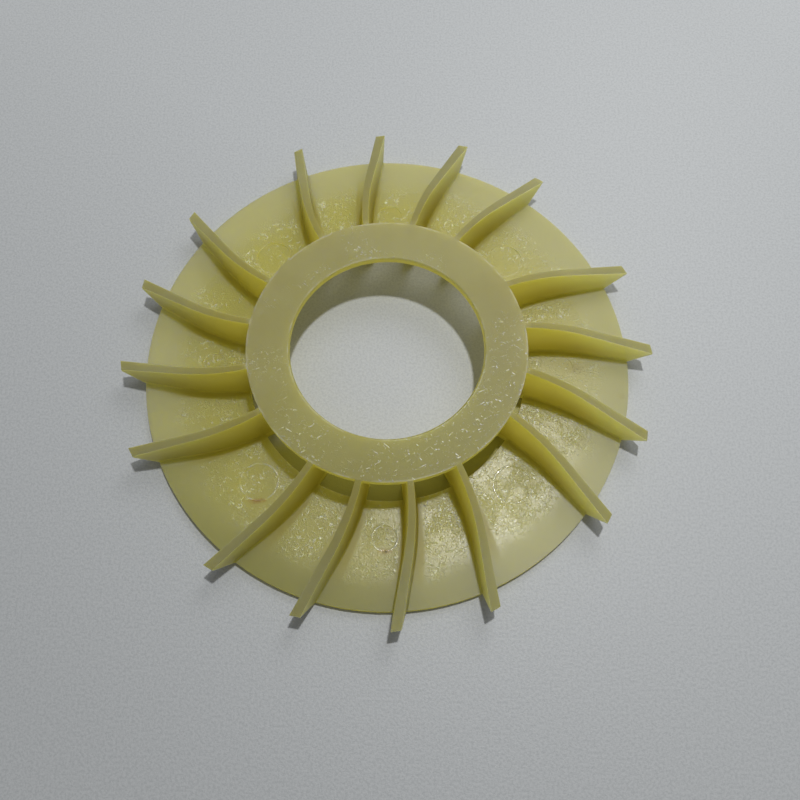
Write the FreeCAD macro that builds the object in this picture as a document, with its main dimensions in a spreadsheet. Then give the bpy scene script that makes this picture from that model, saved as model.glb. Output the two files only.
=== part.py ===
import FreeCAD, Part
import math
import os
import Sketcher

# Scooter cooling fan: one nylon moulding.
# A flat disc with a large hole lies at the bottom. Sixteen swept vanes stand on it, in four groups of four.
# Their inner ends carry a flat hub ring, which hangs above the disc's hole and fits a round boss.
# The axis is Z, the disc's underside is at z = 0 and the vanes point up.
# Millimetres and degrees.

SIZES = {
    # base disc
    "disc_radius": 60.0,
    "disc_thickness": 1.8,
    # hub ring, whose top is the fan's highest face
    "fan_height": 14.6,
    "hub_radius": 33.3,
    "hub_thickness": 2.0,
    "bore_radius": 23.1,
    "bore_edge_round": 0.4,
    # open gap between the hub ring and the edge of the disc's hole, seen from above
    "hub_gap": 1.2,
    # vanes, seen from above: their thickness at the fan's underside, and how much each side leans in
    "vane_thickness": 3.1,
    "draft_angle": 3.3,
    # how far the roots reach in under the hub ring, and how far inside them the bend begins
    "root_lap": 2.8,
    "bend_lead": 0.5,
    "bend_radius": 60.0,
    "bend_angle": 19.3,
    # how far the tips stand out past the disc, and how much their ends are bevelled back on the outer side
    "vane_overhang": 5.4,
    "tip_bevel_angle": 20.0,
    # vanes, seen from the side
    "tip_height": 7.2,
    # underside of the overhang: its height at the disc's rim, and its climb from there to the tips
    "overhang_start": 1.0,
    "overhang_climb": 6.5,
    # sloping foot along each vane on the disc: how far its outline stands out past the vane's
    "foot_flare": 0.2,
    "foot_angle": 45.0,
    # grouping of the vanes
    "group_count": 4,
    "group_vane_count": 4,
    "pitch_angle": 20.0,
    # round witness marks of the ejector pins on the disc's upper face
    "mark_depth": 0.25,
    "large_mark_radius": 4.5,
    "large_mark_place": 42.6,
    "small_mark_radius": 3.0,
    "small_mark_place": 43.3,
    # how far the trimming cuts run past the material
    "overrun": 1.0,
}

doc = FreeCAD.newDocument("ScooterCoolingFan")
sheet = doc.addObject("Spreadsheet::Sheet", "Sizes")
for row, (name, value) in enumerate(SIZES.items(), start=1):
    sheet.set("A%d" % row, name)
    sheet.set("B%d" % row, str(value))
    sheet.setAlias("B%d" % row, name)
doc.recompute()


class Size:
    """A number together with the rule that gives it from the sheet, so that sums carry both."""

    def __init__(self, rule, value):
        self.rule = rule
        self.value = value

    def joined(self, sign, other, value):
        return Size("(%s %s %s)" % (self.rule, sign, other.rule), value)

    def __add__(self, other):
        return self.joined("+", other, self.value + other.value)

    def __sub__(self, other):
        return self.joined("-", other, self.value - other.value)

    def __mul__(self, other):
        return self.joined("*", other, self.value * other.value)

    def __truediv__(self, other):
        return self.joined("/", other, self.value / other.value)

    def __neg__(self):
        return Size("-1 * %s" % self.rule, -self.value)


def named(name):
    """One of the sheet's sizes."""
    return Size("Sizes." + name, float(sheet.get(name)))


ONE = Size("1", 1.0)
TWO = Size("2", 2.0)
FULL_TURN = Size("360", 360.0)
QUARTER_TURN = Size("90", 90.0)

# sizes that follow from others
HUB_RADIUS = named("hub_radius")
DISC_HOLE_RADIUS = HUB_RADIUS + named("hub_gap")
ROOT_RADIUS = HUB_RADIUS - named("root_lap")
TIP_RADIUS = named("disc_radius") + named("vane_overhang")
GROUP_ANGLE = (named("group_vane_count") - ONE) * named("pitch_angle")


def origin_feature(body, role):
    """Origin plane or axis of a body, such as XY_Plane or Z_Axis."""
    return next(f for f in body.Origin.OriginFeatures if f.Role == role)


def new_sketch(body, name, role, height=None, turn=None):
    """Empty sketch on one of the body's origin planes, lifted and turned about its own normal."""
    sketch = body.newObject("Sketcher::SketchObject", name)
    sketch.AttachmentSupport = [(origin_feature(body, role), "")]
    sketch.MapMode = "FlatFace"
    if height:
        sketch.setExpression("AttachmentOffset.Base.z", height.rule)
    if turn:
        upright = FreeCAD.Rotation(FreeCAD.Vector(0, 0, 1), turn.value)
        sketch.AttachmentOffset = FreeCAD.Placement(FreeCAD.Vector(), upright)
        sketch.setExpression("AttachmentOffset.Rotation.Angle", turn.rule)
    return sketch


def bind(sketch, kind, *places_and_size):
    """Add a dimension whose last entry is the Size that drives it."""
    *places, given = places_and_size
    index = sketch.addConstraint(Sketcher.Constraint(kind, *places, given.value))
    sketch.setExpression("Constraints[%d]" % index, given.rule)


def add_circle(sketch, radius, x=None):
    """Circle centred on the sketch's origin, or at x on its X axis."""
    centre = FreeCAD.Vector(x.value if x else 0, 0, 0)
    circle = sketch.addGeometry(Part.Circle(centre, FreeCAD.Vector(0, 0, 1), radius.value))
    if x:
        sketch.addConstraint(Sketcher.Constraint("PointOnObject", circle, 3, -1))
        bind(sketch, "DistanceX", -1, 1, circle, 3, x)
    else:
        sketch.addConstraint(Sketcher.Constraint("Coincident", circle, 3, -1, 1))
    bind(sketch, "Radius", circle, radius)


def add_corners(sketch, corners):
    """Closed outline through corners, each an x and a y."""
    points = [FreeCAD.Vector(x.value, y.value, 0) for x, y in corners]
    for start, end in zip(points, points[1:] + points[:1]):
        sketch.addGeometry(Part.LineSegment(start, end))
    for side, (x, y) in enumerate(corners):
        sketch.addConstraint(Sketcher.Constraint("Coincident", side, 2, (side + 1) % len(corners), 1))
        bind(sketch, "DistanceX", -1, 1, side, 1, x)
        bind(sketch, "DistanceY", -1, 1, side, 1, y)


def pad_ring(body, name, outer, inner, thickness, height=None):
    """Flat ring between two radii, its underside at the given height."""
    sketch = new_sketch(body, name + "Outline", "XY_Plane", height)
    add_circle(sketch, outer)
    add_circle(sketch, inner)
    pad = body.newObject("PartDesign::Pad", name)
    pad.Profile = sketch
    pad.setExpression("Length", thickness.rule)
    doc.recompute()


def draw_vane(body, name, half, height=None):
    """Outline of the first vane from above: two parallel arcs, then two straight sides and a bevelled tip.

    The sides stand half to either side of the middle line. The sketch's X axis is the radius through the
    vane's root. The vane bends towards -Y.
    """
    sketch = new_sketch(body, name + "Outline", "XY_Plane", height, -(GROUP_ANGLE / TWO))
    bend_start = ROOT_RADIUS - named("bend_lead")
    bend_radius = named("bend_radius")
    bend_angle = named("bend_angle")
    turn = math.radians(bend_angle.value)
    centre = FreeCAD.Vector(bend_start.value, -bend_radius.value, 0)
    along = FreeCAD.Vector(math.cos(turn), -math.sin(turn), 0)
    across = FreeCAD.Vector(math.sin(turn), math.cos(turn), 0)
    root = ROOT_RADIUS.value

    def bend_side(radius):
        end = math.acos((root - centre.x) / radius.value)
        circle = Part.Circle(centre, FreeCAD.Vector(0, 0, 1), radius.value)
        arc = sketch.addGeometry(Part.ArcOfCircle(circle, math.pi / 2 - turn, end))
        bind(sketch, "Radius", arc, radius)
        return arc, centre + across * radius.value, centre.y + radius.value * math.sin(end)

    left, left_bend, left_root = bend_side(bend_radius + half)
    right, right_bend, right_root = bend_side(bend_radius - half)
    run = right_bend.dot(along)
    reach = math.sqrt(run ** 2 - right_bend.dot(right_bend) + TIP_RADIUS.value ** 2) - run
    bevel_angle = named("tip_bevel_angle")
    bevel = TWO.value * half.value * math.tan(math.radians(bevel_angle.value))
    right_tip = right_bend + along * reach
    left_tip = left_bend + along * (reach - bevel)
    root_end = sketch.addGeometry(Part.LineSegment(FreeCAD.Vector(root, left_root, 0),
                                                   FreeCAD.Vector(root, right_root, 0)))
    left_side = sketch.addGeometry(Part.LineSegment(left_bend, left_tip))
    tip_end = sketch.addGeometry(Part.LineSegment(left_tip, right_tip))
    right_side = sketch.addGeometry(Part.LineSegment(right_tip, right_bend))
    for constraint in (
            ("Coincident", left, 2, root_end, 1),
            ("Coincident", right, 2, root_end, 2),
            ("Tangent", left, 1, left_side, 1),
            ("Tangent", right, 1, right_side, 2),
            ("Coincident", left_side, 2, tip_end, 1),
            ("Coincident", tip_end, 2, right_side, 1),
            ("Coincident", left, 3, right, 3),
            ("Vertical", root_end),
            ("Parallel", left_side, right_side)):
        sketch.addConstraint(Sketcher.Constraint(*constraint))
    bind(sketch, "DistanceX", -1, 1, left, 3, bend_start)
    bind(sketch, "DistanceY", left, 3, -1, 1, bend_radius)
    bind(sketch, "DistanceX", -1, 1, root_end, 1, ROOT_RADIUS)
    bind(sketch, "Distance", -1, 1, tip_end, 2, TIP_RADIUS)
    index = sketch.addConstraint(Sketcher.Constraint("Angle", -1, 1, left_side, 1, -turn))
    sketch.setExpression("Constraints[%d]" % index, (-bend_angle).rule)
    corner = QUARTER_TURN + bevel_angle
    opening = math.radians(corner.value)
    index = sketch.addConstraint(Sketcher.Constraint("Angle", left_side, 2, tip_end, 1, opening))
    sketch.setExpression("Constraints[%d]" % index, corner.rule)
    return sketch


def turn_pattern(body, name, count, angle):
    """Polar pattern about the fan's axis."""
    pattern = body.newObject("PartDesign::PolarPattern", name)
    pattern.Axis = (origin_feature(body, "Z_Axis"), [""])
    pattern.setExpression("Occurrences", count.rule)
    pattern.setExpression("Angle", angle.rule)
    return pattern


def pad_round(body, name, outline, length, lean):
    """A pad whose sides lean in, turned into a group of vanes, and the group turned round the disc."""
    pad = body.newObject("PartDesign::Pad", name)
    pad.Profile = outline
    pad.setExpression("Length", length.rule)
    pad.setExpression("TaperAngle", (-lean).rule)
    doc.recompute()
    pattern = body.newObject("PartDesign::MultiTransform", name + "s")
    pattern.Originals = [pad]
    pattern.Transformations = [
        turn_pattern(body, name + "Group", named("group_vane_count"), GROUP_ANGLE),
        turn_pattern(body, name + "Groups", named("group_count"), FULL_TURN)]
    body.Tip = pattern
    doc.recompute()


def turn_away(body, name, corners):
    """Cut the area between corners, each a radius and a height, right round the axis, and check the cut."""
    before = body.Shape.Volume
    sketch = new_sketch(body, name + "Outline", "XZ_Plane")
    add_corners(sketch, corners)
    groove = body.newObject("PartDesign::Groove", name)
    groove.Profile = sketch
    groove.ReferenceAxis = (sketch, ["V_Axis"])
    groove.Angle = 360
    doc.recompute()
    if body.Shape.Volume >= before:
        raise RuntimeError(name + " cut nothing")


def add_feet(body):
    """Sloping feet of the vanes, on the disc only. Their narrow tops end inside the vanes."""
    overrun = named("overrun")
    length = TWO * named("foot_flare")
    outline = draw_vane(body, "Foot", named("vane_thickness") / TWO + named("foot_flare"),
                        named("disc_thickness"))
    pad_round(body, "Foot", outline, length, named("foot_angle"))
    above = named("disc_thickness") + length + overrun
    for name, inner, outer in (("FootInside", ROOT_RADIUS - overrun, DISC_HOLE_RADIUS),
                               ("FootOutside", named("disc_radius"), TIP_RADIUS + overrun)):
        turn_away(body, name, [(inner, -overrun), (outer, -overrun), (outer, above), (inner, above)])


def add_vanes(body):
    """All vanes, as tall as the fan. Their sides lean in, so that they are thicker at the foot."""
    outline = draw_vane(body, "Vane", named("vane_thickness") / TWO)
    pad_round(body, "Vane", outline, named("fan_height"), named("draft_angle"))


def trim_vanes(body):
    """Slope the vanes' upper edges down to the tips, and their overhang up from the disc's rim."""
    overrun = named("overrun")
    far = TIP_RADIUS + overrun
    above = named("fan_height") + overrun
    fall = (named("fan_height") - named("tip_height")) / (TIP_RADIUS - HUB_RADIUS)
    turn_away(body, "UpperSlope", [
        (HUB_RADIUS, named("fan_height")),
        (far, named("tip_height") - overrun * fall),
        (far, above),
        (HUB_RADIUS, above)])
    climb = named("overhang_climb") / named("vane_overhang")
    turn_away(body, "Overhang", [
        (named("disc_radius"), -overrun),
        (far, -overrun),
        (far, named("overhang_start") + named("overhang_climb") + overrun * climb),
        (named("disc_radius"), named("overhang_start"))])


def sink_marks(body, name, radius, place, turn=None):
    """Shallow round recesses in the disc's upper face, one for each group of vanes."""
    before = body.Shape.Volume
    sketch = new_sketch(body, name + "Outline", "XY_Plane", named("disc_thickness"), turn)
    add_circle(sketch, radius, place)
    pocket = body.newObject("PartDesign::Pocket", name)
    pocket.Profile = sketch
    pocket.setExpression("Length", named("mark_depth").rule)
    doc.recompute()
    pattern = turn_pattern(body, name + "Set", named("group_count"), FULL_TURN)
    pattern.Originals = [pocket]
    body.Tip = pattern
    doc.recompute()
    if body.Shape.Volume >= before:
        raise RuntimeError(name + " cut nothing")


def round_bore(body):
    """Round the bore's two edges."""
    base = body.Tip
    edges = []
    for number, edge in enumerate(base.Shape.Edges, start=1):
        if isinstance(edge.Curve, Part.Circle) and abs(edge.Curve.Radius - named("bore_radius").value) < 1e-6:
            edges.append("Edge%d" % number)
    fillet = body.newObject("PartDesign::Fillet", "BoreEdges")
    fillet.Base = (base, edges)
    fillet.setExpression("Radius", named("bore_edge_round").rule)
    doc.recompute()


def make_fan():
    """The whole moulding."""
    body = doc.addObject("PartDesign::Body", "fan")
    body.Label = "fan"
    pad_ring(body, "Disc", named("disc_radius"), DISC_HOLE_RADIUS, named("disc_thickness"))
    add_feet(body)
    add_vanes(body)
    trim_vanes(body)
    pad_ring(body, "Hub", HUB_RADIUS, named("bore_radius"), named("hub_thickness"),
             named("fan_height") - named("hub_thickness"))
    sink_marks(body, "LargeMark", named("large_mark_radius"), named("large_mark_place"),
               FULL_TURN / TWO / named("group_count"))
    sink_marks(body, "SmallMark", named("small_mark_radius"), named("small_mark_place"))
    round_bore(body)
    return body


def check(obj):
    """Stop if an object failed to build."""
    if "Invalid" in obj.State or "Error" in obj.State:
        raise RuntimeError("%s failed: %s" % (obj.Label, obj.State))


fan = make_fan()
for item in doc.Objects:
    check(item)
if fan.Shape.isNull() or not fan.Shape.isValid() or len(fan.Shape.Solids) != 1:
    raise RuntimeError("fan is not one valid solid")
os.makedirs("parts", exist_ok=True)
fan.Shape.exportStep("parts/%s.step" % fan.Label)
box = fan.Shape.BoundBox
print("fan: volume %.1f mm3, box %.2f x %.2f x %.2f mm, z from %.2f"
      % (fan.Shape.Volume, box.XLength, box.YLength, box.ZLength, box.ZMin))
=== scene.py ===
"""A moulded nylon cooling fan lying on a pale bench in soft studio light.

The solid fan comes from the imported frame. This script gives it its finish and adds the bench, the
lamps and the camera. Lengths are in metres, except inside the materials, which count in millimetres.
"""

import logging
import math
from dataclasses import dataclass
from enum import Enum
from typing import Any, Callable, Dict, List, Optional, Sequence, Tuple, Union

import bpy
from mathutils import Matrix, Vector

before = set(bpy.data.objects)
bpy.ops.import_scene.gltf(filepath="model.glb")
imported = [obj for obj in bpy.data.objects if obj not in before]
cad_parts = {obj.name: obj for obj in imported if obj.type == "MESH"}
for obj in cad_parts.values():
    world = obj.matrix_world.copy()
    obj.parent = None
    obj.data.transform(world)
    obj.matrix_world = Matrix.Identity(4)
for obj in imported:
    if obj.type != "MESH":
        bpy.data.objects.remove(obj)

LOG = logging.getLogger("cooling_fan")
MM = 0.001
Colour = Tuple[float, float, float]
Span = Tuple[float, float]


class Shading(Enum):
    """How a mask runs from one value to another."""

    STRAIGHT = "LINEAR"
    SMOOTH = "SMOOTHSTEP"


class Wire:
    """A node's output socket that can stand in Python sums.

    Args:
        graph: the node graph that the socket belongs to.
        socket: the output socket.
    """

    def __init__(self, graph: "Graph", socket: bpy.types.NodeSocket) -> None:
        """Keep the graph and the socket."""
        self.graph = graph
        self.socket = socket

    def _sum(self, operation: str, *values: Any) -> "Wire":
        """Add one Math node of the given operation."""
        return self.graph.add("ShaderNodeMath", {"operation": operation}, dict(enumerate(values)))

    def __add__(self, other: Any) -> "Wire":
        """Sum."""
        return self._sum("ADD", self, other)

    def __sub__(self, other: Any) -> "Wire":
        """Difference."""
        return self._sum("SUBTRACT", self, other)

    def __rsub__(self, other: Any) -> "Wire":
        """Difference, with the plain number first."""
        return self._sum("SUBTRACT", other, self)

    def __mul__(self, other: Any) -> "Wire":
        """Product."""
        return self._sum("MULTIPLY", self, other)

    def __pow__(self, other: Any) -> "Wire":
        """Power."""
        return self._sum("POWER", self, other)

    def at_least(self, other: Any) -> "Wire":
        """The larger of two values."""
        return self._sum("MAXIMUM", self, other)

    def at_most(self, other: Any) -> "Wire":
        """The smaller of two values."""
        return self._sum("MINIMUM", self, other)

    def size(self) -> "Wire":
        """The value without its sign."""
        return self._sum("ABSOLUTE", self)

    def folded(self, half: float) -> "Wire":
        """The value brought between -half and half by whole steps of twice half."""
        return self._sum("WRAP", self, half, -half)

    def ramp(self, low: float, high: float, start: float = 0.0, end: float = 1.0,
             shading: Shading = Shading.SMOOTH) -> "Wire":
        """Map this value from one range to another, held at the ends.

        Args:
            low: value that gives start.
            high: value that gives end.
            start: result at low.
            end: result at high.
            shading: straight or smooth in between.

        Returns:
            The mapped value.
        """
        return self.graph.add("ShaderNodeMapRange", {"interpolation_type": shading.value, "clamp": True},
                              {0: self, 1: low, 2: high, 3: start, 4: end})


@dataclass(frozen=True)
class Grain:
    """The grain of a soft noise.

    Attributes:
        scale: grains to the millimetre.
        detail: how many finer layers it has.
        roughness: how strong they are.
        distortion: how far the grains are bent.
    """

    scale: float
    detail: float = 2.0
    roughness: float = 0.5
    distortion: float = 0.0


@dataclass(frozen=True)
class Slope:
    """A value that changes from one side of the fan to the other.

    Attributes:
        x: weight of the place across.
        y: weight of the place away from the viewer.
        span: weighted sums between which the value changes.
        values: the values at both ends.
        shading: straight or smooth in between.
    """

    x: float
    y: float
    span: Span
    values: Span = (0.0, 1.0)
    shading: Shading = Shading.SMOOTH

    def over(self, x: Wire, y: Wire) -> Wire:
        """The value at each place."""
        return (x * self.x + y * self.y).ramp(*self.span, *self.values, self.shading)


class Graph:
    """Builds the nodes of one material.

    Args:
        name: the material's name.
    """

    def __init__(self, name: str) -> None:
        """Make an empty material."""
        self.material = bpy.data.materials.new(name)
        self.material.use_nodes = True
        self.tree = self.material.node_tree
        self.tree.nodes.clear()

    def add(self, kind: str, settings: Optional[Dict[str, Any]] = None,
            inputs: Optional[Dict[Union[int, str], Any]] = None, output: Union[int, str] = 0) -> Wire:
        """Add one node.

        Args:
            kind: the node's type.
            settings: its properties, such as a Math node's operation.
            inputs: values or wires by the socket's name or number.
            output: the socket that is returned.

        Returns:
            The chosen output.
        """
        node = self.tree.nodes.new(kind)
        for key, value in (settings or {}).items():
            setattr(node, key, value)
        for key, value in (inputs or {}).items():
            socket = node.inputs[key]
            if isinstance(value, Wire):
                self.tree.links.new(value.socket, socket)
            elif socket.type == "RGBA" and len(value) == 3:
                socket.default_value = (*value, 1.0)
            else:
                socket.default_value = value
        return Wire(self, node.outputs[output])

    def point(self) -> Wire:
        """The surface point in the piece's own frame, in millimetres."""
        return self.scaled(self.add("ShaderNodeTexCoord", output="Object"), 1.0 / MM)

    def parts(self, vector: Wire) -> List[Wire]:
        """The x, y and z of a vector."""
        node = self.add("ShaderNodeSeparateXYZ", inputs={0: vector}).socket.node
        return [Wire(self, output) for output in node.outputs]

    def scaled(self, vector: Wire, factor: Union[Wire, float]) -> Wire:
        """A vector or a colour times a number."""
        return self.add("ShaderNodeVectorMath", {"operation": "SCALE"}, {0: vector, "Scale": factor})

    def turned(self, vector: Wire, angle: Union[Wire, float]) -> Wire:
        """A vector turned about Z by an angle in radians."""
        return self.add("ShaderNodeVectorRotate", {"rotation_type": "Z_AXIS"},
                        {"Vector": vector, "Angle": angle})

    def stretched(self, vector: Wire, turn: float, factors: Sequence[float]) -> Wire:
        """A vector turned about Z by an angle in degrees and then stretched along x, y and z."""
        turned = self.turned(vector, math.radians(turn))
        return self.add("ShaderNodeVectorMath", {"operation": "MULTIPLY"}, {0: turned, 1: tuple(factors)})

    def noise(self, vector: Wire, grain: Grain) -> Wire:
        """Soft noise from 0 to 1."""
        return self.add("ShaderNodeTexNoise", inputs={
            "Vector": vector, "Scale": grain.scale, "Detail": grain.detail,
            "Roughness": grain.roughness, "Distortion": grain.distortion})

    def bearing(self, x: Wire, y: Wire) -> Wire:
        """Angle of a place about the origin, in degrees."""
        return self.add("ShaderNodeMath", {"operation": "ARCTAN2"}, {0: y, 1: x}) * math.degrees(1.0)

    def blend(self, amount: Union[Wire, float], first: Union[Wire, Colour],
              second: Union[Wire, Colour]) -> Wire:
        """Mix two colours.

        Args:
            amount: 0 for the first colour and 1 for the second.
            first: a colour.
            second: a colour.

        Returns:
            The mixed colour.
        """
        return self.add("ShaderNodeMix", {"data_type": "RGBA", "blend_type": "MIX", "clamp_factor": True},
                        {0: amount, 6: first, 7: second}, output=2)

    def bump(self, height: Wire, strength: float) -> Wire:
        """The normal of a surface whose relief is given in millimetres."""
        return self.add("ShaderNodeBump", inputs={"Strength": strength, "Distance": MM, "Height": height})

    def finish(self, shader: Wire) -> bpy.types.Material:
        """Close the material with its shader."""
        node = self.tree.nodes.new("ShaderNodeOutputMaterial")
        self.tree.links.new(shader.socket, node.inputs["Surface"])
        return self.material


@dataclass(frozen=True)
class VaneLayout:
    """Where the vanes stand, in millimetres and degrees.

    Attributes:
        root_radius: where their middle lines leave the radius.
        sweep: how fast they fall back with the square of the way out.
        ease: how fast that falling back eases.
        half_group: half the angle from one group of vanes to the next.
        half_pitch: half the angle from vane to vane in a group.
        outermost: angle of a group's outer vanes from its middle.
        slant: what part of the way along the arc counts, as the vanes lean against the radius.
    """

    root_radius: float = 30.0
    sweep: float = 0.01439
    ease: float = 0.000239
    half_group: float = 45.0
    half_pitch: float = 10.0
    outermost: float = 30.0
    slant: float = 0.98

    def across(self, radius: Wire, bearing: Wire) -> Wire:
        """Distance from the nearest vane's middle line, positive on its outer side.

        Args:
            radius: distance from the axis.
            bearing: angle about the axis.

        Returns:
            The signed distance.
        """
        way = (radius - self.root_radius).at_least(0.0)
        straight = bearing + way * way * (self.sweep - way * self.ease)
        group = straight.folded(self.half_group)
        held = group.at_least(-self.outermost).at_most(self.outermost)
        angle = (held - self.half_pitch).folded(self.half_pitch) + group - held
        return angle * radius * math.radians(self.slant)


VANES = VaneLayout()
LEVEL_SPAN = (0.85, 0.95)
CLOUDS = Grain(0.05, 4.0, 0.6)
CLOUD_SPAN = (0.38, 0.64)


@dataclass(frozen=True)
class Surface:
    """What the nylon knows about the point that it shades, in millimetres and degrees.

    Attributes:
        graph: the material's graph.
        point: the point itself.
        x: place across.
        y: place away from the viewer.
        z: height.
        radius: distance from the axis.
        bearing: angle about the axis.
        across: distance from the nearest vane's middle line.
        level: 1 where the face looks straight up.
        cloud: broad soft patches, from 0 to 1.
    """

    graph: Graph
    point: Wire
    x: Wire
    y: Wire
    z: Wire
    radius: Wire
    bearing: Wire
    across: Wire
    level: Wire
    cloud: Wire

    @classmethod
    def read(cls, graph: Graph) -> "Surface":
        """Read the shaded point.

        Args:
            graph: the material's graph.

        Returns:
            All that is known about it.
        """
        point = graph.point()
        x, y, z = graph.parts(point)
        radius = (x * x + y * y) ** 0.5
        bearing = graph.bearing(x, y)
        normal = graph.add("ShaderNodeNewGeometry", output="True Normal")
        return cls(graph, point, x, y, z, radius, bearing,
                   across=VANES.across(radius, bearing),
                   level=graph.parts(normal)[2].ramp(*LEVEL_SPAN),
                   cloud=graph.noise(point, CLOUDS).ramp(*CLOUD_SPAN))

    def noise(self, grain: Grain) -> Wire:
        """Soft noise from 0 to 1."""
        return self.graph.noise(self.point, grain)

    def relief(self, grain: Grain, height: float) -> Wire:
        """Noise about zero, from trough to crest as high as given."""
        return (self.noise(grain) - 0.5) * height


@dataclass(frozen=True)
class Stain:
    """A small dirty spot on the disc, placed in millimetres.

    Attributes:
        x: place across.
        y: place away from the viewer.
        length: half its length.
        width: half its width.
        turn: direction of its length in degrees.
        colour: what the nylon is tinted to.
        strength: how much of the tint shows at its middle.
        grain: the grain of its ragged border.
        raggedness: how ragged the border is, as a share of the spot's size.
        border: from where it begins to where it is full, as shares of its size.
    """

    x: float
    y: float
    length: float
    width: float
    turn: float
    colour: Colour
    strength: float
    grain: Grain = Grain(1.6, 3.0)
    raggedness: float = 1.6
    border: Span = (1.1, 0.2)

    def mask(self, at: Surface) -> Wire:
        """Where the stain shows, from 0 to its strength."""
        local = at.graph.add("ShaderNodeVectorMath", {"operation": "SUBTRACT"},
                             {0: at.point, 1: (self.x, self.y, 0.0)})
        local = at.graph.stretched(local, -self.turn, (1.0 / self.length, 1.0 / self.width, 0.0))
        away = at.graph.add("ShaderNodeVectorMath", {"operation": "LENGTH"}, {0: local}, output="Value")
        ragged = away + at.relief(self.grain, self.raggedness)
        return ragged.ramp(*self.border, 0.0, self.strength)


STAINS = (
    Stain(-30.3, -34.8, 2.6, 0.8, 4.0, (0.40, 0.15, 0.03), 0.85),
    Stain(0.2, -46.4, 1.9, 0.9, 0.0, (0.52, 0.22, 0.05), 0.6),
    Stain(0.3, -46.5, 0.45, 0.4, 0.0, (0.035, 0.02, 0.01), 1.0),
    Stain(46.9, 0.0, 3.0, 1.7, 0.0, (0.33, 0.25, 0.07), 0.45),
    Stain(58.0, -7.4, 1.4, 1.2, 0.0, (0.38, 0.33, 0.17), 0.3),
)


@dataclass(frozen=True)
class PinMark:
    """Round marks of the mould's ejector pins, one for each group of vanes.

    Attributes:
        bearing: angle of the first.
        place: distance from the axis to a mark's middle.
        radius: of the mark.
        line: half widths of the painted glint ring along a mark's edge, faint and full.
    """

    bearing: float
    place: float
    radius: float
    line: Span = (0.32, 0.08)

    def outline(self, at: Surface) -> Wire:
        """Where the marks' thin painted glint rings are, from 0 to 1."""
        turn = (at.bearing - self.bearing).folded(VANES.half_group) * math.radians(1.0)
        local = at.graph.turned(at.graph.add("ShaderNodeCombineXYZ", inputs={"X": at.radius}), turn)
        away = at.graph.add("ShaderNodeVectorMath", {"operation": "DISTANCE"},
                            {0: local, 1: (self.place, 0.0, 0.0)}, output="Value")
        return (away - self.radius).size().ramp(*self.line)


@dataclass(frozen=True)
class PinMarks:
    """Painted glint rings along all the pin marks' edges, broken here and there and fainter on the far
    side.

    Attributes:
        large: the large marks.
        small: the small marks.
        breaks: grain of the breaks in the rings.
        break_span: noise from which a ring is gone to which it is full.
        fading: how much of the rings shows, from the far side to the near side.
    """

    large: PinMark = PinMark(45.0, 42.6, 4.5)
    small: PinMark = PinMark(0.0, 43.3, 3.0)
    breaks: Grain = Grain(0.35)
    break_span: Span = (0.40, 0.56)
    fading: Slope = Slope(0.0, 1.0, (5.0, -30.0), (0.25, 0.8))

    def pin_glint_rings(self, at: Surface, on_disc: Wire) -> Wire:
        """Where the painted glint rings are, from 0 to 1."""
        # painted glints along the pin marks' edges
        drawn = self.large.outline(at).at_least(self.small.outline(at))
        whole = at.noise(self.breaks).ramp(*self.break_span)
        return drawn * on_disc * whole * self.fading.over(at.x, at.y)


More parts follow.
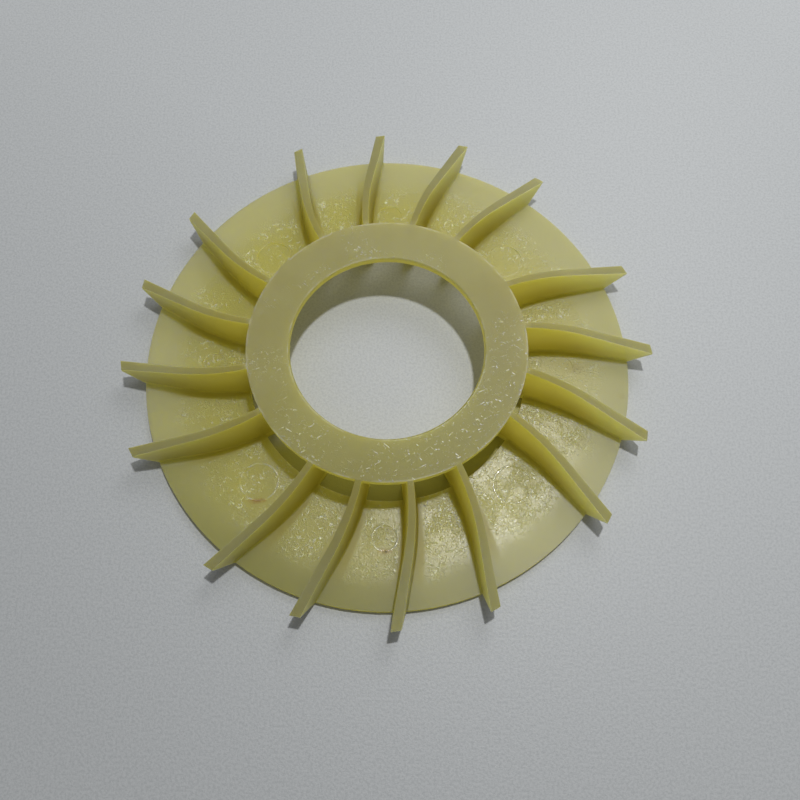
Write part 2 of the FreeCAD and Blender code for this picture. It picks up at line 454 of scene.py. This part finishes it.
@dataclass(frozen=True)
class DiscFinish:
    """The disc: clear between the vanes, smooth and milky outside, with painted shade beside the vanes'
    feet and on the near left of the outer zone, and painted light from left to right.

    Attributes:
        inner: colour between the vanes.
        shaded_rim: colour of the smooth outer zone in the near left, painted shade.
        milky: colour of that zone elsewhere, out of the painted shade.
        foot: colour beside the vanes' feet, painted shade.
        edge: heights from which and down to which a point counts as the disc's.
        rim_shade_slope: where the outer zone turns from its painted shade to milky.
        outer_zone: radii over which the outer zone begins.
        outer_share: how much of its colour the radius brings.
        cloud_share: how much of it the clouds bring.
        foot_shade_reach: share of the way clear of a vane, over which the painted shade beside its foot
            comes in.
        foot_shade_zone: radii over which that painted shade comes in.
        foot_shade_share: how strong it is.
        tone: painted light, the disc paler on the left and darker on the right.
        widening_radius: from where a vane's foot is wider on its outer side.
        widening: by how much for each millimetre further out.
        outer_side: how far the foot reaches from the middle line on the outer side.
        inner_side: how far it reaches on the inner side.
        clearance: distances from the foot over which a point becomes clear of it.
    """

    inner: Colour = (0.70, 0.69, 0.26)
    # painted shade: the smooth outer zone darker in the near left
    shaded_rim: Colour = (0.26, 0.28, 0.08)
    milky: Colour = (0.69, 0.715, 0.49)
    # painted shade beside the vanes' feet
    foot: Colour = (0.42, 0.37, 0.05)
    edge: Span = (2.3, 2.0)
    rim_shade_slope: Slope = Slope(0.35, 0.9, (-66.0, -24.0))
    outer_zone: Span = (44.0, 56.0)
    outer_share: float = 0.85
    cloud_share: float = 0.15
    foot_shade_reach: Span = (0.9, 0.0)
    foot_shade_zone: Span = (57.0, 48.0)
    foot_shade_share: float = 0.7
    # painted light: the disc paler on the left and darker on the right
    tone: Slope = Slope(0.8, -0.3, (-45.0, 45.0), (1.13, 0.93), Shading.STRAIGHT)
    widening_radius: float = 38.0
    widening: float = 0.11
    outer_side: float = 2.0
    inner_side: float = 2.1
    clearance: Span = (-0.2, 1.2)

    def mask(self, at: Surface) -> Wire:
        """1 on the disc."""
        return at.z.ramp(*self.edge)

    def clear_of_vanes(self, at: Surface) -> Wire:
        """1 away from the vanes' feet."""
        open_side = at.across - (at.radius - self.widening_radius).at_least(0.0) * self.widening
        free = (open_side - self.outer_side).at_least(at.across * -1.0 - self.inner_side)
        return free.ramp(*self.clearance)

    def colour(self, at: Surface, clear: Wire) -> Wire:
        """The disc's colour.

        Args:
            at: the shaded point.
            clear: 1 away from the vanes' feet.

        Returns:
            The colour.
        """
        graph = at.graph
        # painted shade on the outer zone towards the near left
        smooth = graph.blend(self.rim_shade_slope.over(at.x, at.y), self.shaded_rim, self.milky)
        outer = at.radius.ramp(*self.outer_zone) * self.outer_share + at.cloud * self.cloud_share
        base = graph.blend(outer, self.inner, smooth)
        # painted shade beside the vanes' feet
        foot = clear.ramp(*self.foot_shade_reach) * at.radius.ramp(*self.foot_shade_zone) * self.foot_shade_share
        # painted light from left to right
        return graph.scaled(graph.blend(foot, base, self.foot), self.tone.over(at.x, at.y))


@dataclass(frozen=True)
class Etching:
    """The etched zone of the disc between the vanes, crinkled and full of pale painted glints.

    Attributes:
        border: radii over which it begins, from the outside.
        wander: how far that border wanders.
        wander_grain: grain of its wandering.
        patches: grain of the patches with more glints.
        patch_span: noise over which such a patch begins.
        glint_colour: colour of the painted glints.
        glint_share: how much of that colour shows.
        glint_grain: grain of the painted glints.
        glint_span: noise over which a painted glint begins.
        patch_glints: how much denser they are in the patches.
        side_glints: where they grow denser, towards the near right, where the ceiling lamp's reflection
            falls.
        side_share: how much denser they are there.
        crinkle: grain and height of the crinkle.
        fine_crinkle: grain and height of its finer layer.
        plain_share: how much of the crinkle is left outside the patches.
    """

    border: Span = (55.5, 49.5)
    wander: float = 7.0
    wander_grain: Grain = Grain(0.12, 3.0)
    patches: Grain = Grain(0.16, 3.0, 0.6)
    patch_span: Span = (0.42, 0.60)
    # painted glints: pale specks of reflection in the etched zone
    glint_colour: Colour = (0.90, 0.90, 0.54)
    glint_share: float = 0.85
    glint_grain: Grain = Grain(1.25, 3.0, 0.6, 1.0)
    glint_span: Span = (0.60, 0.69)
    patch_glints: float = 0.07
    # painted glints gather towards the near right, under the lamp's reflection
    side_glints: Slope = Slope(1.0, -1.0, (-40.0, 60.0))
    side_share: float = 0.03
    crinkle: Tuple[Grain, float] = (Grain(1.9, 3.0, 0.7, 0.5), 0.085)
    fine_crinkle: Tuple[Grain, float] = (Grain(4.0, 1.0), 0.045)
    plain_share: float = 0.5

    def mask(self, at: Surface, clear: Wire, on_disc: Wire) -> Wire:
        """1 in the etched zone."""
        wander = at.noise(self.wander_grain) * self.wander - self.wander / 2.0
        return (at.radius + wander).ramp(*self.border) * clear * on_disc

    def glinting(self, at: Surface) -> Wire:
        """1 in the patches with more glints."""
        return at.noise(self.patches).ramp(*self.patch_span)

    def painted_glints(self, at: Surface, etched: Wire, glinting: Wire) -> Wire:
        """Where the painted glints are, from 0 to 1."""
        side = self.side_glints.over(at.x, at.y) * self.side_share
        grain = at.noise(self.glint_grain) + glinting * self.patch_glints + side
        return grain.ramp(*self.glint_span) * etched

    def height(self, at: Surface, etched: Wire, glinting: Wire) -> Wire:
        """Relief of the crinkle, in millimetres."""
        crinkle = at.relief(*self.crinkle) + at.relief(*self.fine_crinkle)
        return crinkle * etched * (glinting * (1.0 - self.plain_share) + self.plain_share)


@dataclass(frozen=True)
class VaneFinish:
    """The vanes: amber low at the root as painted shade, paler further out and up, greyer along the upper
    edge, with painted light from left to right.

    Attributes:
        amber: colour of the walls low at the root, painted shade.
        face: colour of the walls further out.
        edge: colour of the upper edges.
        pale_zone: radii over which that painted shade lifts and the walls turn pale.
        pale_zone_share: how much the radius adds to that.
        pale_height: heights over which the painted shade lifts and they turn pale.
        pale_height_share: how much the height adds to that.
        tone: painted light, the walls darker on the left and paler on the right.
        ring_zone: heights over which the hub ring's colour takes over.
        edge_clouds: how much the clouds lighten the upper edges.
    """

    # painted shade: the walls darker and deeper in colour low at the root
    amber: Colour = (0.24, 0.165, 0.01)
    face: Colour = (0.76, 0.78, 0.50)
    edge: Colour = (0.295, 0.29, 0.165)
    pale_zone: Span = (39.0, 59.0)
    pale_zone_share: float = 0.75
    pale_height: Span = (3.0, 10.5)
    pale_height_share: float = 0.6
    # painted light: the walls darker on the left and paler on the right
    tone: Slope = Slope(1.0, 0.0, (-40.0, 45.0), (0.72, 1.2), Shading.STRAIGHT)
    ring_zone: Span = (12.2, 14.2)
    edge_clouds: float = 0.12

    def colour(self, at: Surface, ring: Colour) -> Wire:
        """The vanes' colour.

        Args:
            at: the shaded point.
            ring: the hub ring's colour.

        Returns:
            The colour.
        """
        graph = at.graph
        # painted shade lifts with the radius and the height
        pale = at.radius.ramp(*self.pale_zone) * self.pale_zone_share
        pale = (pale + at.z.ramp(*self.pale_height) * self.pale_height_share).at_most(1.0)
        # painted shade low at the root, and painted light from left to right
        wall = graph.scaled(graph.blend(pale, self.amber, self.face), self.tone.over(at.x, at.y))
        wall = graph.blend(at.z.ramp(*self.ring_zone), wall, ring)
        top = graph.blend(at.cloud * self.edge_clouds, self.edge, self.face)
        return graph.blend(at.level, wall, top)


@dataclass(frozen=True)
class HubFinish:
    """The hub ring: satin, scuffed in front and on the right, with pale edge lines that are partly wear
    and partly painted highlight, and painted shade on its near side.

    Attributes:
        plate: colour of its upper face.
        cloud_share: how much the clouds turn it milky.
        shade: painted shade, how far its near side takes the disc's shaded_rim colour.
        wear_and_glint: colour of scratches and small chips, of the pale edge lines, partly painted
            highlight, and of the painted glints on the pin marks.
        top: heights over which its upper face begins.
        chip_grain: grain of the small chips.
        chip_span: noise over which one of the small chips begins.
        scratch_turns: directions of the short scratches, in degrees.
        scratch_stretch: how much finer their grain is along x, y and z.
        scratch_grain: their grain.
        scratch_span: noise over which a scratch begins.
        scuffs: grain of the scuffed patches.
        scuff_side: where they gather.
        scuff_share: how strongly they gather there.
        scuff_span: noise over which a scuffed patch begins.
        edges: radii of the ring's inner and outer edge.
        worn_highlight_width: distances from an edge over which its pale line begins, partly wear and
            partly painted highlight.
        worn_highlight_grain: grain of that line.
        worn_highlight_span: noise over which it begins.
        worn_highlight_share: how strong it is.
    """

    plate: Colour = (0.43, 0.43, 0.26)
    cloud_share: float = 0.3
    # painted shade on the near side of the hub ring
    shade: Slope = Slope(0.0, 1.0, (5.0, -33.0), (0.0, 0.55))
    # pale colour for scratches and chips, and for painted glints and highlights
    wear_and_glint: Colour = (0.86, 0.87, 0.72)
    top: Span = (14.2, 14.5)
    chip_grain: Grain = Grain(1.6, 3.0, 0.6, 0.6)
    chip_span: Span = (0.62, 0.69)
    scratch_turns: Tuple[float, ...] = (38.0, -24.0)
    scratch_stretch: Tuple[float, float, float] = (0.6, 2.2, 0.6)
    scratch_grain: Grain = Grain(1.0, 2.0, 0.6)
    scratch_span: Span = (0.655, 0.71)
    scuffs: Grain = Grain(0.07)
    scuff_side: Slope = Slope(0.8, -1.0, (6.0, 30.0))
    scuff_share: float = 0.18
    scuff_span: Span = (0.52, 0.64)
    edges: Span = (23.4, 33.2)
    # pale edge lines, partly wear and partly painted highlight
    worn_highlight_width: Span = (0.45, 0.1)
    worn_highlight_grain: Grain = Grain(0.3)
    worn_highlight_span: Span = (0.42, 0.56)
    worn_highlight_share: float = 0.3

    def mask(self, at: Surface) -> Wire:
        """1 on the ring's upper face."""
        return at.z.ramp(*self.top) * at.level

    def colour(self, at: Surface, disc: DiscFinish) -> Wire:
        """Colour of the upper face, without its scratches."""
        plate = at.graph.blend(at.cloud * self.cloud_share, self.plate, disc.milky)
        # painted shade on the near side
        return at.graph.blend(self.shade.over(at.x, at.y), plate, disc.shaded_rim)

    def chips(self, at: Surface, on_hub: Wire) -> Wire:
        """Where the scratches and chips are, and the pale edge lines that are partly wear and partly
        painted highlight, from 0 to 1.
        """
        chips = at.noise(self.chip_grain).ramp(*self.chip_span)
        for turn in self.scratch_turns:
            drawn = at.graph.stretched(at.point, turn, self.scratch_stretch)
            chips = chips.at_least(at.graph.noise(drawn, self.scratch_grain).ramp(*self.scratch_span))
        side = self.scuff_side.over(at.x, at.y) * self.scuff_share
        scuffed = (at.noise(self.scuffs) + side).ramp(*self.scuff_span)
        from_bore, from_outside = ((at.radius - edge).size() for edge in self.edges)
        # pale edge lines, partly wear and partly painted highlight
        worn_highlight = from_bore.at_most(from_outside).ramp(*self.worn_highlight_width)
        worn_highlight = worn_highlight * at.noise(self.worn_highlight_grain).ramp(*self.worn_highlight_span) * self.worn_highlight_share
        return (chips * scuffed).at_least(worn_highlight) * on_hub


@dataclass(frozen=True)
class Marks:
    """Masks from 0 to 1 that say what a point of the fan belongs to.

    Attributes:
        on_disc: the disc.
        on_hub: the hub ring's upper face.
        clear: away from the vanes' feet.
        etched: the etched zone.
        glinting: its patches with more glints.
        painted_glints: its pale painted glints.
        chips: scratches and chips of the hub ring, and its pale edge lines, partly wear and partly
            painted highlight.
        pin_glint_rings: painted glints along the pin marks' edges.
        wear_and_glints: the last two together.
    """

    on_disc: Wire
    on_hub: Wire
    clear: Wire
    etched: Wire
    glinting: Wire
    painted_glints: Wire
    chips: Wire
    pin_glint_rings: Wire
    wear_and_glints: Wire


@dataclass(frozen=True)
class NaturalNylon:
    """Translucent natural nylon as it leaves the mould.

    Attributes:
        disc: finish of the disc.
        etching: finish of its etched zone.
        vanes: finish of the vanes.
        hub: finish of the hub ring.
        pins: the ejector pins' marks.
        through: colour of the light that passes the walls.
        passing: share of the light that does.
        dense_share: how much less passes where the surface is scratched or holds a painted glint.
        tip_zone: radii over which less light passes the vanes.
        tip_share: how much less.
        waves: grain and height of the broad unevenness.
        skin: grain and height of the finest unevenness.
        raised: height of chips, pin-mark glint rings and painted glints, in millimetres.
        roughness: of the plain moulding.
        etched_gloss: how much glossier the etched zone is.
        hub_matt: how much rougher the hub ring is.
        scar_gloss: how much glossier scratches and the pin-mark glint rings are.
        refraction: the nylon's index.
        gloss: strength of its reflections.
        scatter_reach: how far red, green and blue light spreads inside it, as shares.
        scatter_scale: the length of those shares, in metres.
    """

    disc: DiscFinish = DiscFinish()
    etching: Etching = Etching()
    vanes: VaneFinish = VaneFinish()
    hub: HubFinish = HubFinish()
    pins: PinMarks = PinMarks()
    through: Colour = (0.96, 0.90, 0.30)
    passing: float = 0.64
    dense_share: float = 0.5
    tip_zone: Span = (36.0, 58.0)
    tip_share: float = 0.4
    waves: Tuple[Grain, float] = (Grain(0.11), 0.05)
    skin: Tuple[Grain, float] = (Grain(2.2), 0.008)
    raised: float = 0.05
    roughness: float = 0.42
    etched_gloss: float = 0.18
    hub_matt: float = 0.10
    scar_gloss: float = 0.15
    refraction: float = 1.6
    gloss: float = 0.7
    scatter_reach: Tuple[float, float, float] = (1.0, 0.9, 0.3)
    scatter_scale: float = 0.006

    def marks(self, at: Surface) -> Marks:
        """Work out all masks.

        Args:
            at: the shaded point.

        Returns:
            The masks.
        """
        on_disc = self.disc.mask(at)
        on_hub = self.hub.mask(at)
        clear = self.disc.clear_of_vanes(at)
        etched = self.etching.mask(at, clear, on_disc)
        glinting = self.etching.glinting(at)
        painted_glints = self.etching.painted_glints(at, etched, glinting)
        chips = self.hub.chips(at, on_hub)
        pin_glint_rings = self.pins.pin_glint_rings(at, on_disc)
        wear_and_glints = (chips + pin_glint_rings).at_most(1.0)
        return Marks(on_disc, on_hub, clear, etched, glinting, painted_glints, chips, pin_glint_rings, wear_and_glints)

    def colour(self, at: Surface, marks: Marks) -> Wire:
        """Lay the colours over each other, from the vanes up to the stains.

        Args:
            at: the shaded point.
            marks: its masks.

        Returns:
            The colour.
        """
        graph = at.graph
        colour = self.vanes.colour(at, self.hub.plate)
        colour = graph.blend(marks.on_disc, colour, self.disc.colour(at, marks.clear))
        colour = graph.blend(marks.on_hub, colour, self.hub.colour(at, self.disc))
        # pale colour: the hub's scratches and chips, its edge lines partly painted highlight, and painted
        # glints on the pin marks
        colour = graph.blend(marks.wear_and_glints, colour, self.hub.wear_and_glint)
        # painted glints in the etched zone
        colour = graph.blend(marks.painted_glints * self.etching.glint_share, colour, self.etching.glint_colour)
        for stain in STAINS:
            colour = graph.blend(stain.mask(at) * marks.on_disc, colour, stain.colour)
        return colour

    def height(self, at: Surface, marks: Marks) -> Wire:
        """Relief of the whole skin, in millimetres.

        Args:
            at: the shaded point.
            marks: its masks.

        Returns:
            The height.
        """
        (wave_grain, wave_height), (skin_grain, skin_height) = self.waves, self.skin
        height = self.etching.height(at, marks.etched, marks.glinting)
        height = height + at.noise(wave_grain) * wave_height + at.noise(skin_grain) * skin_height
        for mark in (marks.chips, marks.pin_glint_rings, marks.painted_glints):
            height = height + mark * self.raised
        return height

    def passed_share(self, at: Surface, marks: Marks) -> Wire:
        """Share of the light that passes at each point."""
        dense = (marks.painted_glints + marks.chips + marks.pin_glint_rings).at_most(1.0) * self.dense_share
        tips = at.radius.ramp(*self.tip_zone) * (1.0 - marks.on_disc) * self.tip_share
        return (1.0 - dense.at_least(tips)) * self.passing

    def build(self) -> bpy.types.Material:
        """Make the material.

        Returns:
            The nylon.
        """
        graph = Graph("natural_nylon")
        at = Surface.read(graph)
        marks = self.marks(at)
        rough = self.roughness - marks.etched * self.etched_gloss + marks.on_hub * self.hub_matt
        bump = graph.bump(self.height(at, marks), 1.0)
        body = graph.add("ShaderNodeBsdfPrincipled", {"subsurface_method": "RANDOM_WALK"}, {
            "Base Color": self.colour(at, marks), "Roughness": rough - marks.wear_and_glints * self.scar_gloss,
            "IOR": self.refraction, "Specular IOR Level": self.gloss, "Normal": bump,
            "Subsurface Weight": 1.0, "Subsurface Radius": self.scatter_reach,
            "Subsurface Scale": self.scatter_scale})
        passed = graph.add("ShaderNodeBsdfTranslucent", inputs={"Color": self.through, "Normal": bump})
        share = self.passed_share(at, marks)
        return graph.finish(graph.add("ShaderNodeMixShader", inputs={0: share, 1: body, 2: passed}))


@dataclass(frozen=True)
class BenchPaint:
    """Pale satin laminate with fine specks, a little darker towards the near left as painted shade, and
    painted light in the narrow gap in front of the fan.

    Attributes:
        light: the paler tone.
        dark: the tone of its specks.
        grit: grain of the specks.
        grit_span: noise from a speck to the plain tone.
        grit_height: height of the grain, in millimetres.
        grit_strength: how strongly its relief shows.
        painted_dimming: painted shade, how pale the bench is from the near left to the far right.
        outer: the tone far from the fan, painted light which keeps the bench pale where the lamps fade.
        outer_zone: radii over which that tone comes in.
        painted_gap_light: painted light and shade, the yellow tone in the narrow gap in front, where the
            light has come through the nylon.
        gap_inside: radii over which that tone comes in.
        gap_outside: radii over which it ends, from the outside.
        gap_side: on which side of the fan it shows.
        roughness: of the laminate.
        gloss: strength of its reflections.
    """

    light: Colour = (0.535, 0.555, 0.565)
    dark: Colour = (0.45, 0.47, 0.48)
    grit: Grain = Grain(1.7, 4.0, 0.75)
    grit_span: Span = (0.36, 0.60)
    grit_height: float = 0.12
    grit_strength: float = 0.5
    # painted shade: the bench darker towards the near left
    painted_dimming: Slope = Slope(0.8, 1.6, (-190.0, 90.0), (0.84, 1.0), Shading.STRAIGHT)
    # painted light: the bench paler far from the fan
    outer: Colour = (0.90, 0.93, 0.95)
    outer_zone: Span = (150.0, 480.0)
    # painted light and shade: the yellow tone in the gap in front
    painted_gap_light: Colour = (0.34, 0.32, 0.055)
    gap_inside: Span = (26.0, 29.0)
    gap_outside: Span = (37.0, 35.0)
    gap_side: Slope = Slope(0.2, -1.0, (8.0, 18.0))
    roughness: float = 0.42
    gloss: float = 0.35

    @staticmethod
    def reach(square: Wire, radii: Span, shading: Shading = Shading.SMOOTH) -> Wire:
        """0 at the first radius and 1 at the second, from the square of the distance."""
        return square.ramp(radii[0] ** 2, radii[1] ** 2, shading=shading)

    def build(self) -> bpy.types.Material:
        """Make the material.

        Returns:
            The bench's finish.
        """
        graph = Graph("bench_laminate")
        point = graph.point()
        x, y, _ = graph.parts(point)
        square = x * x + y * y
        grit = graph.noise(point, self.grit)
        colour = graph.blend(grit.ramp(*self.grit_span), self.dark, self.light)
        # painted shade towards the near left
        colour = graph.scaled(colour, self.painted_dimming.over(x, y))
        # painted light far from the fan
        colour = graph.blend(self.reach(square, self.outer_zone, Shading.STRAIGHT), colour, self.outer)
        gap = self.reach(square, self.gap_inside) * self.reach(square, self.gap_outside)
        # painted light and shade in the gap in front
        colour = graph.blend(gap * self.gap_side.over(x, y), colour, self.painted_gap_light)
        return graph.finish(graph.add("ShaderNodeBsdfPrincipled", inputs={
            "Base Color": colour, "Roughness": self.roughness, "Specular IOR Level": self.gloss,
            "Normal": graph.bump(grit * self.grit_height, self.grit_strength)}))


@dataclass
class Fan:
    """The one-piece moulding, as the frame gives it.

    Attributes:
        node: its name in the frame.
        finish: its material.
    """

    node: str = "fan"
    finish: NaturalNylon = NaturalNylon()

    def dress(self) -> bpy.types.Object:
        """Give the moulding its nylon.

        Returns:
            The dressed object.
        """
        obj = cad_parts[self.node]
        material = self.finish.build()
        if not obj.material_slots:
            obj.data.materials.append(material)
        for slot in obj.material_slots:
            slot.material = material
        return obj


@dataclass
class Bench:
    """The flat pale surface that the fan lies on.

    Attributes:
        half_width: half the length of its sides.
        drop: how far it lies below the fan, so that the two faces don't share a plane.
        finish: its material.
    """

    half_width: float = 0.5
    drop: float = 0.00002
    finish: BenchPaint = BenchPaint()

    def build(self) -> bpy.types.Object:
        """Make the bench.

        Returns:
            The bench's object.
        """
        bpy.ops.object.select_all(action="DESELECT")
        bpy.ops.mesh.primitive_plane_add(size=2 * self.half_width, location=(0, 0, -self.drop))
        obj = bpy.context.object
        obj.name = "bench"
        bpy.ops.object.transform_apply(location=True, rotation=True, scale=True)
        obj.data.materials.append(self.finish.build())
        return obj


@dataclass(frozen=True)
class Lamp:
    """A round lamp that shines at the fan.

    Attributes:
        name: its name.
        place: where it hangs.
        size: its diameter.
        power: in watts.
    """

    name: str
    place: Tuple[float, float, float]
    size: float
    power: float

    def build(self) -> bpy.types.Object:
        """Make the lamp.

        Returns:
            The lamp's object.
        """
        data = bpy.data.lights.new(self.name, "AREA")
        data.shape = "DISK"
        data.size = self.size
        data.energy = self.power
        lamp = bpy.data.objects.new(self.name, data)
        lamp.location = self.place
        lamp.rotation_euler = Vector(self.place).to_track_quat("Z", "Y").to_euler()
        bpy.context.scene.collection.objects.link(lamp)
        return lamp


@dataclass
class Studio:
    """A small lamp above, a broad soft one beyond the far right corner, and a pale room.

    Attributes:
        lamps: the lamps.
        room: the room's mean brightness.
        far_share: how much brighter its far side is than the mean, and its near side darker.
        room_span: directions, from near to far, between which the brightness changes.
        backdrop: brightness of the plain room as the camera sees it behind the bench.
    """

    lamps: Tuple[Lamp, ...] = (Lamp("ceiling_lamp", (0.1423, 0.2290, 1.0701), 0.06, 5.6),
                               Lamp("soft_window", (0.16, 0.30, 0.36), 0.25, 0.5))
    room: float = 0.24
    far_share: float = 0.3
    room_span: Span = (-0.6, 0.7)
    backdrop: float = 0.52

    def build(self) -> bpy.types.World:
        """Make the lamps and light the room.

        Returns:
            The room's world.
        """
        for lamp in self.lamps:
            lamp.build()
        world = bpy.data.worlds.new("room")
        world.use_nodes = True
        nodes, links = world.node_tree.nodes, world.node_tree.links
        background = nodes["Background"]
        background.inputs["Color"].default_value = (1.0, 1.0, 1.0, 1.0)
        direction = nodes.new("ShaderNodeTexCoord")
        parts = nodes.new("ShaderNodeSeparateXYZ")
        strength = nodes.new("ShaderNodeMapRange")
        levels = (self.room * (1 - self.far_share), self.room * (1 + self.far_share))
        for number, value in enumerate((*self.room_span, *levels), start=1):
            strength.inputs[number].default_value = value
        rays = nodes.new("ShaderNodeLightPath")
        shown = nodes.new("ShaderNodeMix")
        shown.inputs[3].default_value = self.backdrop
        links.new(direction.outputs["Generated"], parts.inputs[0])
        links.new(parts.outputs["Y"], strength.inputs[0])
        links.new(rays.outputs["Is Camera Ray"], shown.inputs[0])
        links.new(strength.outputs[0], shown.inputs[2])
        links.new(shown.outputs[0], background.inputs["Strength"])
        bpy.context.scene.world = world
        return world


@dataclass
class Viewpoint:
    """The camera above the near edge of the bench.

    Attributes:
        place: where it stands.
        pitch: how far it looks away from straight down, in degrees.
        roll: its turn about its own line of sight, in degrees.
        sensor: width of its sensor, in millimetres.
        lens: its focal length, in millimetres.
        sight: nearest and furthest distance that it sees.
    """

    place: Tuple[float, float, float] = (0.0032, -0.08069, 0.19853)
    pitch: float = 20.009
    roll: float = 0.622
    sensor: float = 36.0
    lens: float = 38.25
    sight: Span = (0.005, 20.0)

    def build(self) -> bpy.types.Object:
        """Make the camera and look through it.

        Returns:
            The camera's object.
        """
        pitch, roll = math.radians(self.pitch), math.radians(self.roll)
        forward = Vector((0.0, math.sin(pitch), -math.cos(pitch)))
        level_up = Vector((0.0, math.cos(pitch), math.sin(pitch)))
        side = Vector((1.0, 0.0, 0.0))
        right = side * math.cos(roll) + level_up * math.sin(roll)
        above = level_up * math.cos(roll) - side * math.sin(roll)
        data = bpy.data.cameras.new("camera")
        data.sensor_width = self.sensor
        data.lens = self.lens
        data.clip_start, data.clip_end = self.sight
        camera = bpy.data.objects.new("camera", data)
        turn = Matrix((right, above, -forward)).transposed().to_4x4()
        camera.matrix_world = Matrix.Translation(self.place) @ turn
        bpy.context.scene.collection.objects.link(camera)
        bpy.context.scene.camera = camera
        return camera


def main() -> None:
    """Build the scene in order and report each piece."""
    logging.basicConfig(level=logging.INFO, format="%(name)s: %(message)s")
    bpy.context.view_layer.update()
    bpy.context.scene.view_settings.view_transform = "Standard"
    builders: Tuple[Callable[[], bpy.types.ID], ...] = (
        Viewpoint().build, Studio().build, Bench().build, Fan().dress)
    for build in builders:
        LOG.info("made %s", build().name)


if __name__ == "__main__":
    main()
